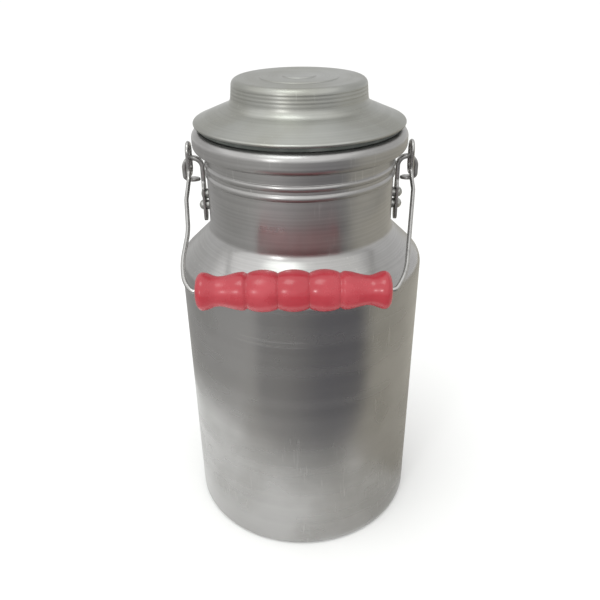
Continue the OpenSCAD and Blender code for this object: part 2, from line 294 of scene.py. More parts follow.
def revolved(name, outline, around, uneven=None, axis="Z", centre=(0, 0, 0), ring=False):
    """Surface of revolution: an outline point (r, h) becomes x = r cos a, y = r sin a, z = h.

    An outline from the axis to the axis is closed by a pole at each end; with ring set, the
    outline closes on itself. It runs anticlockwise as seen with r to the right and h up, so that
    the faces point outwards. The uneven function moves each point outwards by a distance that
    depends on a and h. Axis X turns the whole so that h runs along X.
    """
    travelled = along(outline)
    rings, track = (outline, travelled) if ring else (outline[1:-1], travelled[1:-1])
    a = np.arange(around) / around * 2 * math.pi
    r = rings[:, :1] + 0 * a
    h = rings[:, 1:] + 0 * a
    if uneven is not None:
        r = r + uneven(a[None, :], h)
    points = np.stack([r * np.cos(a), r * np.sin(a), h], axis=-1).reshape(-1, 3)
    triangles, track = np.zeros((0, 3), int), np.repeat(track, around)
    if not ring:
        points = np.vstack([points, [0, 0, outline[0, 1]], [0, 0, outline[-1, 1]]])
        triangles = end_fans(len(rings), around)
        track = np.append(track, travelled[[0, -1]])
    if axis == "X":
        points = points[:, [2, 0, 1]]
    quads = grid_faces(len(rings), around, ring)
    return make_piece(name, points + np.array(centre), quads, triangles, {"track": track})


def swept(name, line, across, up, half_width, half_thick, square, sides=24):
    """Bar carried along a line: at each point of the line the section is a rounded rectangle,
    across * w * sign(cos a) |cos a|^k + up * t * sign(sin a) |sin a|^k, where k = 2 / square;
    the ends close in a point, and a square of 2 gives an ellipse.
    """
    a = np.arange(sides) / sides * 2 * math.pi
    c, s = [(np.sign(wave) * np.abs(wave) ** (2 / square))[None, :, None]
            for wave in (np.cos(a), np.sin(a))]
    w, t = [np.broadcast_to(half, len(line))[:, None, None] for half in (half_width, half_thick)]
    rings = line[:, None, :] + w * c * across[:, None, :] + t * s * up[:, None, :]
    points = np.vstack([rings.reshape(-1, 3), line[:1], line[-1:]])
    travelled = along(line)
    track = np.append(np.repeat(travelled, sides), travelled[[0, -1]])
    turn = np.append(np.tile(np.cos(a), len(line)), [0, 0])
    return make_piece(name, points, grid_faces(len(line), sides), end_fans(len(line), sides),
                      {"track": track, "turn": turn})


def hand_over(piece, body, slot, finish, *nodes):
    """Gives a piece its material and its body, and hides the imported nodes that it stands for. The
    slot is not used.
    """
    piece.data.materials.append(finish_material(finish))
    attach(piece, body)
    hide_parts(*nodes)


# ---- Materials

EASED = {"interpolation_type": "SMOOTHSTEP"}  # a Map Range that starts and ends softly
BLEND = {"data_type": "RGBA"}  # a Mix of the colours on sockets 6 and 7, given by output 2


def feed(node, inputs):
    """Fills a node's inputs, in order from a list or by name and number from a dictionary. A socket
    is linked, a node is linked by its first output, and anything else is set as a value."""
    for key, value in inputs.items() if isinstance(inputs, dict) else enumerate(inputs):
        if isinstance(value, bpy.types.Node):
            value = value.outputs[0]
        if isinstance(value, bpy.types.NodeSocket):
            node.id_data.links.new(value, node.inputs[key])
        else:
            node.inputs[key].default_value = value


def add_node(tree, kind, inputs=(), **settings):
    """Adds a shader node with its settings and its inputs."""
    node = tree.nodes.new("ShaderNode" + kind)
    for key, value in settings.items():
        setattr(node, key, value)
    feed(node, inputs)
    return node


def start_material(name):
    """A new material, add_node for its tree, its Principled shader and the Object coordinates."""
    material = bpy.data.materials.new(name)
    material.use_nodes = True
    material.node_tree.nodes.clear()
    add = partial(add_node, material.node_tree)
    shader = add("BsdfPrincipled")
    add("OutputMaterial", {"Surface": shader})
    return material, add, shader, add("TexCoord").outputs["Object"]


def mottle(add, shader, spots, spread, pair, rough, relief, depth, strength=1.0, grain=None):
    """Mixes a pair of colours by the spots, sets the roughness by the grain, or by the spots again,
    and raises the relief by its depth. Spread is where the spots begin and end, and how much of
    either colour they take."""
    mix = add("Mix", {
        "Factor": add("MapRange", [spots, *spread], **EASED), 6: pair[0], 7: pair[1]}, **BLEND)
    feed(shader, {
        "Base Color": mix.outputs[2],
        "Roughness": add("MapRange", [grain or spots, 0.3, 0.7, *rough], **EASED),
        "Normal": add("Bump", {"Strength": strength, "Distance": depth, "Height": relief})})


def spun_aluminium(name, clean, dull, ring_depth, roughness, stretch, quiet_below):
    """Aluminium, spun on a lathe and left as it came off the tool.

    The tool leaves fine rings round the axis, so highlights stretch across them, and years of use
    leave dull, slightly darker patches and a few short scuffs. Rings are drawn about a millimetre
    apart, coarser than the real ones, which would be too fine to show, and are fainter below the
    height quiet_below.
    """
    material, add, shader, place = start_material(name)
    track = add("Attribute", attribute_name="track").outputs["Fac"]
    x, y, height = add("SeparateXYZ", [place]).outputs
    slow = [add("Math", [side, 4.0], operation="MULTIPLY") for side in (x, y)]

    def ringed(spacing):
        """Noise that hardly changes round the axis and changes every spacing along the outline."""
        fast = add("Math", [track, 1 / spacing], operation="MULTIPLY")
        at = add("CombineXYZ", [*slow, fast])
        return add("TexNoise", {"Vector": at, "Scale": 1.0, "Detail": 0.0})

    fade = 8 * MM
    loud = add("MapRange", [height, quiet_below - fade, quiet_below + fade, 0.15, 1.0], **EASED)
    rings = add("Math", [ringed(1.1 * MM), -0.5], operation="ADD")
    rings = add("Math", [rings, loud, 0.5], operation="MULTIPLY_ADD")
    bands = ringed(8 * MM)
    # dull patches, about 45 mm across
    patches = add("TexNoise", {"Vector": place, "Scale": 1 / (45 * MM), "Detail": 4.0})
    # short upright scuffs, about half a millimetre wide and 10 mm long, in the dull patches only
    upright = add("Mapping", {"Vector": place, "Scale": (1.0, 1.0, 0.06)})
    streaks = add("TexNoise", {"Vector": upright, "Scale": 1 / (1.2 * MM), "Detail": 1.0})
    scuffs = add("Math", [
        add("MapRange", [streaks, 0.64, 0.72], **EASED),
        add("MapRange", [patches, 0.5, 0.62], **EASED)],
        operation="MULTIPLY")
    # colour: clean metal to dull metal, shaded a little by the rings and lightened by the scuffs
    metal = add("Mix", {
        "Factor": add("MapRange", [patches, 0.35, 0.68], **EASED),
        6: clean, 7: dull}, **BLEND)
    swing = 6 * ring_depth / MM  # how far a ring lightens or darkens the metal
    shade = add("MapRange", [rings, 0.3, 0.7, 1 - swing, 1 + swing], **EASED)
    shade = add("Math", [scuffs, 0.2, shade], operation="MULTIPLY_ADD")
    tone = add("Mix", {
        "Factor": 1.0, 6: metal.outputs[2], 7: add("CombineColor", [shade] * 3)},
        blend_type="MULTIPLY", **BLEND)
    # roughness: smoother where the tool pressed, rougher in dull patches, in scuffs and on rings
    rough = add("MapRange", [patches, 0.3, 0.7, roughness - 0.02, roughness + 0.04], **EASED)
    press = add("MapRange", [bands, 0.3, 0.7, -0.025, 0.025], **EASED)
    rough = add("Math", [rough, press], operation="ADD")
    for mark, more in ((scuffs, 0.06), (loud, 0.07)):
        rough = add("Math", [mark, more, rough], operation="MULTIPLY_ADD")
    # relief: the rings on broad, hardly visible waves
    relief = add("Bump", {"Distance": ring_depth, "Height": rings})
    relief = add("Bump", {"Distance": 1.5 * ring_depth, "Height": bands, "Normal": relief})
    feed(shader, {
        "Base Color": tone.outputs[2], "Roughness": rough, "Normal": relief, "Metallic": 1.0,
        "Tangent": add("Tangent", direction_type="RADIAL", axis="Z"),
        "Anisotropic": stretch, "Anisotropic Rotation": 0.25})
    return material


def zinc_strip(name, colours):
    """Steel strip, cut, hammered to shape and zinc plated: dull grey, cloudy over 3 mm, with a
    slightly dimpled face."""
    material, add, shader, place = start_material(name)
    clouds = add("TexNoise", {
        "Vector": place, "Scale": 1 / (3 * MM), "Detail": 4.0, "Roughness": 0.6})
    dimples = add("TexVoronoi", {
        "Vector": place, "Scale": 1 / (1.6 * MM), "Smoothness": 1.0}, feature="SMOOTH_F1")
    mottle(add, shader, clouds, (0.35, 0.65, 0.0, 1.0), (colours.steel, colours.steel_dull),
           (0.3, 0.46), dimples, 0.05 * MM)
    shader.inputs["Metallic"].default_value = 1.0
    return material


def headed_aluminium(name, colours):
    """Soft aluminium wire, headed with a hammer: paler than the ears, dull, with small flat hammer
    marks about a millimetre across."""
    material, add, shader, place = start_material(name)
    dull = add("TexNoise", {"Vector": place, "Scale": 1 / (2 * MM), "Detail": 3.0})
    marks = add("TexVoronoi", {"Vector": place, "Scale": 1 / (1.1 * MM)})
    mottle(add, shader, dull, (0.35, 0.65, 0.0, 1.0), (colours.rivet, colours.rivet_dull),
           (0.32, 0.5), marks, 0.03 * MM)
    shader.inputs["Metallic"].default_value = 1.0
    return material


def drawn_wire(name, colours):
    """Steel wire, drawn through a die and zinc plated: bright, with fine lines along the wire and
    dull spots 4 mm across. The lines are about 14 mm long."""
    material, add, shader, place = start_material(name)
    track, turn = [add("Attribute", attribute_name=key).outputs["Fac"] for key in ("track", "turn")]
    long_place = add("CombineXYZ", [
        add("Math", [track, 1 / (14 * MM)], operation="MULTIPLY"),
        add("Math", [turn, 3.0], operation="MULTIPLY")])
    die_lines = add("TexNoise", {"Vector": long_place, "Scale": 1.0, "Detail": 2.0})
    spots = add("TexNoise", {"Vector": place, "Scale": 1 / (4 * MM), "Detail": 3.0})
    mottle(add, shader, spots, (0.5, 0.75, 0.0, 0.6), (colours.wire, colours.steel_dull),
           (0.2, 0.3), die_lines, 0.006 * MM)
    shader.inputs["Metallic"].default_value = 1.0
    return material


def gasket_rubber(name, colours):
    """Moulded rubber, matt and nearly black, with a fine grain of half a millimetre and a little
    grey dust."""
    material, add, shader, place = start_material(name)
    grain = add("TexNoise", {"Vector": place, "Scale": 1 / (0.5 * MM), "Detail": 2.0})
    dust = add("TexNoise", {"Vector": place, "Scale": 1 / (12 * MM), "Detail": 3.0})
    mottle(add, shader, dust, (0.45, 0.75, 0.0, 0.25), (colours.rubber, colours.steel_dull),
           (0.55, 0.75), grain, 0.04 * MM, 0.6, grain)
    return material


def red_lacquer(name, colours):
    """Thick coral red lacquer on a turned grip: a clear even gloss over a faintly rippled face,
    paler where hands have rubbed it."""
    material, add, shader, place = start_material(name)
    ripple, rub, fine = [
        add("TexNoise", {"Vector": place, "Scale": 1 / size, "Detail": detail})
        for size, detail in ((7 * MM, 1.0), (16 * MM, 4.0), (0.9 * MM, 2.0))]
    red = add("Mix", {
        "Factor": add("MapRange", [rub, 0.42, 0.72, 0.0, 0.8], **EASED),
        6: colours.grip, 7: colours.grip_worn}, **BLEND)
    rough = add("Math", [
        add("MapRange", [rub, 0.3, 0.7, 0.2, 0.3], **EASED),
        add("MapRange", [fine, 0.3, 0.7, -0.01, 0.01], **EASED)],
        operation="ADD")
    feed(shader, {
        "Base Color": red.outputs[2], "Roughness": rough, "IOR": 1.5,
        "Normal": add("Bump", {
            "Distance": 0.05 * MM, "Height": ripple})})
    return material


def plain_floor(name, colours):
    """Matt paper sweep, nearly white."""
    material, add, shader, place = start_material(name)
    tooth = add("TexNoise", {"Vector": place, "Scale": 1 / (60 * MM), "Detail": 2.0})
    feed(shader, {
        "Base Color": colours.floor, "Specular IOR Level": 0.1,
        "Roughness": add("MapRange", [tooth, 0.3, 0.7, 0.85, 0.95], **EASED)})
    return material


def finish_material(name):
    """The material of that name, made once."""
    if name in bpy.data.materials:
        return bpy.data.materials[name]
    colours = bpy.context.scene.can_colours
    # clean and dull colour, ring depth, roughness, stretch of the highlights, top of the quiet part
    spun = {
        "spun_aluminium_can": (
            colours.aluminium, colours.aluminium_dull, 0.008 * MM, 0.24, 0.55, 188 * MM),
        "spun_aluminium_lid": (colours.lid, colours.lid_dull, 0.006 * MM, 0.3, 0.35, 0.0)}
    if name in spun:
        return spun_aluminium(name, *spun[name])
    makers = {"zinc_plated_strip": zinc_strip, "headed_aluminium": headed_aluminium,
              "drawn_zinc_wire": drawn_wire, "gasket_rubber": gasket_rubber,
              "red_gloss_lacquer": red_lacquer, "paper_floor": plain_floor}
    return makers[name](name, colours)


# ---- Pieces

# share, waves round the wall and their shift, waves up the wall in radians a metre and their shift
HOLLOWS = ((1, 3, 0.4, 41, 1.1), (0.8, 5, 2.1, 67, 0.3), (0.5, 8, 4.4, 103, 2.0))
SCORE_STARTS, SCORE_ENDS = (238, 242), (271, 274)  # degrees over which a scored line fades
INSIDE = 0.01 * MM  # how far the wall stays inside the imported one


class MILKCAN_OT_body(bpy.types.Operator):
    """Spins the can: base, wall, shoulder, neck with two beads and the rolled mouth"""
    bl_idname = "milkcan.body"
    bl_label = "Can body"

    def execute(self, context):
        s = context.scene.can_sizes
        body_r = high("can_body")[0] - INSIDE
        mouth_z = high("can_body")[2]
        turn = math.pi / 2 - s.shoulder_slope
        neck_z = s.wall_height + (body_r - s.neck_radius) * math.tan(s.shoulder_slope)
        roll_c = s.neck_radius + s.roll_radius
        roll_z = mouth_z - s.roll_radius - s.sheet
        bead_arc = (s.bead_half ** 2 + s.bead_out ** 2) / (2 * s.bead_out)
        bead_c = s.neck_radius + s.bead_out - bead_arc
        bead_low = mouth_z - s.bead_drop - s.bead_pitch
        fine, coarse = 0.7 * MM, 2.4 * MM

        def bead(depth, z):
            """A bead's arc, that far under its surface, cut off at the neck."""
            radius = bead_arc - depth
            half = math.acos((s.neck_radius - depth - bead_c) / radius)
            return arc((bead_c, z), radius, -half, half, fine / 2)

        def wall(depth):
            """Base, wall, shoulder and neck, that far under the outer surface."""
            shoulder_z = s.wall_height - s.shoulder_radius * math.tan(turn / 2)
            return [
                [0, depth],
                arc((body_r - s.base_radius, s.base_radius), s.base_radius - depth,
                    -math.pi / 2, 0, fine),
                arc((body_r - s.shoulder_radius, shoulder_z), s.shoulder_radius - depth,
                    0, turn, fine),
                arc((s.neck_radius + s.neck_fillet, neck_z + s.neck_fillet * math.tan(turn / 2)),
                    s.neck_fillet + depth, math.pi + turn, math.pi, fine),
                bead(depth, bead_low),
                bead(depth, bead_low + s.bead_pitch)]

        outer = s.roll_radius + s.sheet
        slit = -math.radians(145)
        mouth = [
            arc((roll_c, roll_z), s.roll_radius, math.pi, 0, fine),
            arc((roll_c, roll_z - s.roll_height), s.roll_radius, 0, slit, fine),
            arc((roll_c, roll_z - s.roll_height), outer, slit, 0, fine / 2),
            arc((roll_c, roll_z), outer, 0, math.pi, fine / 2)]
        outline = joined(wall(0) + mouth + backwards(wall(s.sheet)), coarse)

        # closer points where the two lines are scored
        middle = s.score_height - s.score_pitch / 2
        near = np.abs(outline[:, 1] - middle) < 1.5 * s.score_pitch
        first = int(np.argmax(near))
        last = first + int(np.argmin(near[first:]))
        extra = np.linspace(outline[first - 1], outline[last], 40)
        outline = np.vstack([outline[:first - 1], extra, outline[last + 1:]])

        def uneven(a, z):
            """Shallow hollows, a sum of slow waves round the wall and up it that fades at base and
            shoulder, and two bell-shaped grooves over a tenth of the way round."""
            waves = sum(share * np.sin(round_wall * a + shift) * np.sin(z * up + lift)
                        for share, round_wall, shift, up, lift in HOLLOWS)
            fade = smooth(6 * MM, 30 * MM, z) * (
                1 - smooth(s.wall_height - 30 * MM, s.wall_height, z))
            degrees = np.degrees(a)
            there = smooth(*SCORE_STARTS, degrees) * (1 - smooth(*SCORE_ENDS, degrees))
            lines = sum(np.exp(-((z - s.score_height + k * s.score_pitch) / (0.4 * MM)) ** 2)
                        for k in (0, 1))
            return -s.dent * fade * (0.5 + 0.22 * waves) - s.score_depth * lines * there

        piece = revolved("can_shell", outline, AROUND_CAN, uneven)
        hand_over(piece, "can", "spun_aluminium", "spun_aluminium_can", "can_body")
        return {"FINISHED"}


class MILKCAN_OT_lid(bpy.types.Operator):
    """Spins the lid, with turned steps and bands on its crown, and its collar and gasket"""
    bl_idname = "milkcan.lid"
    bl_label = "Lid"

    def execute(self, context):
        s = context.scene.lid_sizes
        crown_z = high("lid_shell")[2] - 2 * s.crown_step
        edge_r = s.edge_radius
        brim_r = high("lid_shell")[0] - edge_r
        brim_z = low("lid_shell")[2] + edge_r
        slope = s.brim_slope
        brim_top = brim_z + edge_r / math.cos(slope)
        foot_r = s.crown_radius + 0.5 * MM
        foot = brim_top + (brim_r - s.crown_radius - 0.5 * MM) * math.tan(slope)
        lift = s.crown_fillet * math.tan((math.pi / 2 - slope) / 2)
        fine, coarse = 0.3 * MM, 0.8 * MM

        def face(depth):
            """Crown edge and crown foot, that far under the outer surface."""
            return [
                arc((s.crown_radius - s.crown_edge, crown_z - s.crown_edge), s.crown_edge - depth,
                    math.pi / 2, 0, fine),
                arc((foot_r + s.crown_fillet, foot + lift), s.crown_fillet + depth,
                    math.pi, 3 * math.pi / 2 - slope, fine)]

        # the top of the crown drops by one step at each of two radii
        at_steps = (s.inner_step, s.outer_step)
        top = joined([[0, crown_z], [s.crown_radius - s.crown_edge, crown_z]], fine)
        close = [r + np.linspace(-0.5, 0.5, 9) * MM for r in at_steps]
        flat = [r for r in top[:, 0] if min(abs(r - at) for at in at_steps) > 0.6 * MM]
        r = np.sort(np.concatenate([flat, *close]))
        drop = sum(smooth(at - 0.4 * MM, at + 0.4 * MM, r) for at in at_steps)
        top = np.column_stack([r, crown_z + s.crown_step * (2 - drop)])
        edge = arc((brim_r, brim_z), edge_r, math.pi / 2 - slope, -math.pi, fine / 2)
        upper = joined([top] + face(0) + [edge], coarse / 2)
        # the three turned bands are shallow grooves in the crown's side
        side = np.abs(upper[:, 0] - s.crown_radius) < 0.7 * MM
        for k in range(3):
            z = crown_z - s.crown_edge - (0.4 * MM + k * s.band_pitch)
            cut = np.exp(-((upper[:, 1] - z) / (0.45 * MM)) ** 2)
            upper[:, 0] -= s.band_depth * cut * side
        under = brim_top + edge_r * math.tan(slope) - s.sheet / math.cos(slope)
        lower = joined([[brim_r - edge_r, under]] + backwards(face(s.sheet))
                       + [[0, crown_z - s.sheet]], coarse)
        metal = "spun_aluminium_lid"
        piece = revolved("lid_skin", np.vstack([upper, lower])[::-1], AROUND_LID)
        hand_over(piece, "lid", "spun_aluminium", metal, "lid_shell")

        # the collar, with a rounded lead at its lower edge
        r, z, top_z = high("lid_collar")[0], low("lid_collar")[2], high("lid_collar")[2]
        inner, lead = r - s.sheet, 0.8 * MM
        outline = joined([
            [inner - lead, z + 0.4 * MM], [inner - lead + 0.2 * MM, z],
            [r - lead - 0.2 * MM, z], [r - lead, z + 0.4 * MM], [r, z + 2 * MM],
            [r, top_z - 0.45 * MM], [inner, top_z], [inner, z + 2 * MM],
            [inner - lead, z + 0.45 * MM]], coarse)
        piece = revolved("lid_collar_skin", outline, AROUND_CAN, ring=True)
        hand_over(piece, "lid", "spun_aluminium", metal, "lid_collar")

        # the gasket, with a rounded lower lip and a top that follows the brim
        lowest, highest = low("lid_gasket"), high("lid_gasket")
        out_r, in_r, lip, gap = highest[0], r + 0.05 * MM, 0.5 * MM, 0.02 * MM
        out_top = highest[2] - (out_r - in_r) * math.tan(slope)
        outline = joined([
            [in_r, lowest[2]],
            arc((out_r - lip, lowest[2] + lip), lip, -math.pi / 2, 0, fine / 3),
            [out_r, out_top - gap], [in_r, highest[2] - gap],
            [in_r, lowest[2] + 0.01 * MM]], coarse)
        piece = revolved("gasket_ring", outline, AROUND_CAN, ring=True)
        hand_over(piece, "lid", "seal_rubber", "gasket_rubber", "lid_gasket")
        return {"FINISHED"}


class MILKCAN_OT_ears(bpy.types.Operator):
    """Bends both ears: riveted plate, arch, outer leg, curl and hammered leaf"""
    bl_idname = "milkcan.ears"
    bl_label = "Ears"

    def execute(self, context):
        s = context.scene.fitting_sizes
        step = 0.3 * MM
        half_plate, half_bar = s.plate_width / 2, s.bar_width / 2
        for side, node in ((-1, "ear_left"), (1, "ear_right")):
            lowest, highest = low(node), high(node)
            inner, outer = sorted([abs(lowest[0]), abs(highest[0])])
            bottom = lowest[2]
            leg_x = inner + s.bar_thick / 2
            arch_x = leg_x + s.arch_radius
            arch_z = highest[2] - s.arch_radius - s.bar_thick / 2
            curl_x = outer - s.bar_thick / 2 - s.curl_radius
            tip = leg_x + s.plate_thick / 2 + 0.7 * MM
            rivet = node.replace("ear", "rivet") + "_upper"
            rivet_z = (low(rivet)[2] + high(rivet)[2]) / 2
            leaf_z = arch_z - s.leaf_drop
            route = joined([
                [leg_x, bottom], [leg_x, arch_z],
                arc((arch_x, arch_z), s.arch_radius, math.pi, 0, step),
                arc((curl_x, leaf_z + s.curl_radius), s.curl_radius, 0, -math.pi / 2, step),
                [tip, leaf_z]], step)
            travelled = along(route)
            left = travelled[-1] - travelled
            # width: half circle, plate, taper to the bar, then the leaf, whose edges are two arcs
            up = route[:, 1] - bottom
            on_plate = travelled < arch_z - bottom
            rounded = np.sqrt(np.clip(
                half_plate ** 2 - np.clip(half_plate - up, 0, None) ** 2, 0, None))
            taper = smooth(rivet_z + 3.6 * MM - bottom, rivet_z + 8.6 * MM - bottom, up)
            plate = rounded + (half_bar - half_plate) * taper
            bow = (s.leaf_half_width ** 2 + s.leaf_half_length ** 2) / (2 * s.leaf_half_width)
            off = left - s.leaf_half_length
            leaf = np.sqrt(np.clip(bow ** 2 - off ** 2, 0, None)) - (bow - s.leaf_half_width)
            blend = smooth(s.leaf_half_length * 1.2, s.leaf_half_length * 2.2, left)
            neck = np.maximum(leaf, 0) * (1 - blend) + half_bar * blend
            tail = np.where(off < s.leaf_half_length * 0.35, leaf, neck)
            half_width = np.maximum(np.where(on_plate, plate, tail), 0.12 * MM)
            # thickness: plate, bar, then thinner again in the leaf and towards every thin end
            thin = smooth(s.leaf_half_length * 1.2, s.leaf_half_length * 2.4, left)
            half_thick = np.where(
                on_plate, s.plate_thick / 2 + (s.bar_thick - s.plate_thick) / 2 * taper,
                s.leaf_thick / 2 + (s.bar_thick - s.leaf_thick) / 2 * thin)
            half_thick = half_thick * np.clip(0.55 + half_width / (1.6 * MM), 0, 1)
            tangent = tangents(route)
            zero = np.zeros(len(route))
            line = np.column_stack([side * route[:, 0], zero, route[:, 1]])
            across = np.column_stack([zero, zero + side, zero])
            normal = np.column_stack([side * -tangent[:, 1], zero, tangent[:, 0]])
            piece = swept(node + "_strap", line, across, normal, half_width, half_thick, 5, 32)
            hand_over(piece, "can", "ear_steel", "zinc_plated_strip", node)
        return {"FINISHED"}


class MILKCAN_OT_rivets(bpy.types.Operator):
    """Turns the four rivets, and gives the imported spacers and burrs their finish"""
    bl_idname = "milkcan.rivets"
    bl_label = "Rivets, spacers and burrs"

    def execute(self, context):
        s = context.scene.fitting_sizes
        fine = 0.15 * MM
        for place in ("left_upper", "left_lower", "right_upper", "right_lower"):
            node = "rivet_" + place
            ear = "ear_" + place.split("_")[0]
            lowest, highest = low(node), high(node)
            start, end = sorted([abs(lowest[0]), abs(highest[0])])
            seat = min(abs(low(ear)[0]), abs(high(ear)[0])) + s.plate_thick
            head, tail = end - seat, s.rivet_tail_height
            ball = (s.rivet_head ** 2 + head ** 2) / (2 * head)
            tail_ball = (s.rivet_tail ** 2 + tail ** 2) / (2 * tail)
            rim = math.asin(min(1, s.rivet_head / ball))
            tail_rim = math.asin(s.rivet_tail / tail_ball)
            outline = joined([
                arc((0, start + tail_ball), tail_ball, -math.pi / 2, -math.pi / 2 + tail_rim, fine),
                [s.rivet_shank, start + tail], [s.rivet_shank, seat],
                arc((0, end - ball), ball, math.pi / 2 - rim, math.pi / 2, fine)], fine * 2)
            outline[[0, -1], 0] = 0
            piece = revolved(node + "_turned", outline, AROUND_RIVET, axis="X")
            if place.startswith("left"):
                mirrored(piece)
            piece.data.transform(Matrix.Translation((0, 0, (lowest[2] + highest[2]) / 2)))
            hand_over(piece, "can", "rivet_aluminium", "headed_aluminium", node)
            for kind in ("spacer_", "burr_"):
                for held in frame["nodes"][kind + place].material_slots:
                    held.material = finish_material("headed_aluminium")
        return {"FINISHED"}


def mirrored(piece):
    """Mirrors a mesh left to right and turns its faces round again, so that they point outwards."""
    piece.data.transform(Matrix.Diagonal((-1, 1, 1, 1)))
    piece.data.flip_normals()


# courses of the bail's arms, away from the grip: length or bend radius in millimetres, and the
# heading at its start and at its end, in degrees above the horizontal
ARMS = {
    1: [(3.5, 0, 57), (45, 57, 80.5), (52.1, 80.5, 80.5), (20, 80.5, 90)],
    -1: [(3.5, 0, 50), (20, 50, 78), (60, 78, 93), (10, 93, 93), (60, 93, 82), (16.7, 82, 82),
         (20, 82, 90)]}
WIRE_PLAY = 0.998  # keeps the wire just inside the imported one


class MILKCAN_OT_bail(bpy.types.Operator):
    """Bends the bail wire: through the grip, out and up both arms, and a closed loop at each ear"""
    bl_idname = "milkcan.bail"
    bl_label = "Bail wire"

    def execute(self, context):
        s = context.scene.bail_sizes
        hinge = np.array(JOINTS["bail_swing"]["pos_m"])
        grip = np.array(JOINTS["grip_turn"]["pos_m"])
        reach = np.array([-grip[1] - s.loop_half_width - s.elbow,
                          hinge[2] - grip[2] - (s.loop_half_length - s.loop_half_width)])
        lean = math.atan2(*reach) + math.asin(s.elbow / np.linalg.norm(reach))
        arm_length = math.sqrt(reach @ reach - s.elbow ** 2)
        half_grip = (high("grip")[0] - low("grip")[0]) / 2 + 0.5 * MM
        straight = (2 * (s.loop_half_length - s.loop_half_width), 0, 0)
        loop = [(s.elbow, lean, math.pi / 2), straight, (s.loop_half_width, math.pi, math.pi),
                straight, (s.loop_half_width, math.radians(145), 0)]
        out = np.array([[0, 0, 1], [math.sin(lean), -math.cos(lean), 0],
                        [math.cos(lean), math.sin(lean), 0]])
        halves = []
        for side, course in ARMS.items():
            steps, rise, turned = [], arm_length, 1
            for size, start, end in course:
                now = np.sign(end - start) or turned
                steps.append((size * MM, math.radians(abs(end - start)),
                              0 if now == turned else math.pi))
                a, b = math.radians(start), math.radians(end)
                rise -= size * MM * (
                    math.sin(a) if start == end else abs(math.cos(a) - math.cos(b)))
                turned = now
            place = np.array([half_grip + side * grip[0], grip[1], grip[2]])
            line, frames = bent(place, out, steps + [(rise, 0, 0)] + loop, 0.8 * MM)
            line[:, 0] *= side
            frames[:, 0, :] *= side
            halves.append((line, frames[:, :, 0]))
        (right, right_across), (left, left_across) = halves
        middle = np.linspace(left[0], right[0], 60)[1:-1]
        line = np.vstack([left[::-1], middle, right])
        across = np.vstack([left_across[::-1], np.repeat(right_across[:1], len(middle), 0),
                            right_across])
        travelled = along(line)
        tangent = tangents(line)
        across -= tangent * np.sum(across * tangent, axis=1)[:, None]
        across /= np.linalg.norm(across, axis=1)[:, None]
        normal = np.cross(tangent, across)
        # the two cut ends are rounded over the last 0.6 mm
        from_end = np.minimum(travelled, travelled[-1] - travelled) / (0.6 * MM)
        ends = np.sqrt(1 - 0.8 * (1 - np.minimum(from_end, 1)) ** 2)
        radius = s.wire * np.where(from_end < 1, ends, 1) * WIRE_PLAY
        piece = swept("bail_bent_wire", line, across, normal, radius, radius, 2, 20)
        hand_over(piece, "bail", "bail_steel", "drawn_zinc_wire", "bail_wire")
        return {"FINISHED"}


def bent(start, axes, steps, spacing):
    """Centre line of a bent wire, with side axes carried along it that never roll about the wire.

    A step is a straight length, or a bend radius and its angle, and the roll about the wire that
    comes before it and stays for the steps after it. On a bend towards the rolled first axis the
    wire has gone (r - r cos t, 0, r sin t) after an angle t.
    """
    points, carried, roll = [start[None]], [axes[None]], 0
    for size, angle, more in steps:
        roll += more
        c, n = math.cos(roll), math.sin(roll)
        rolled = np.array([[c, -n, 0], [n, c, 0], [0, 0, 1]])
        travel = size * angle if angle else size
        t = np.linspace(0, 1, max(2, math.ceil(travel / spacing)) + 1)[1:]
        a, zero, one = t * angle, 0 * t, 0 * t + 1
        gone = (np.column_stack([size - size * np.cos(a), zero, size * np.sin(a)]) if angle
                else np.column_stack([zero, zero, t * size]))
        turn = np.stack([np.stack([np.cos(a), zero, np.sin(a)], -1),
                         np.stack([zero, one, zero], -1),
                         np.stack([-np.sin(a), zero, np.cos(a)], -1)], axis=1)
        points.append(start + gone @ (axes @ rolled).T)
        carried.append(axes @ rolled @ turn @ rolled.T)
        start, axes = points[-1][-1], carried[-1][-1]
    return np.vstack(points), np.vstack(carried)


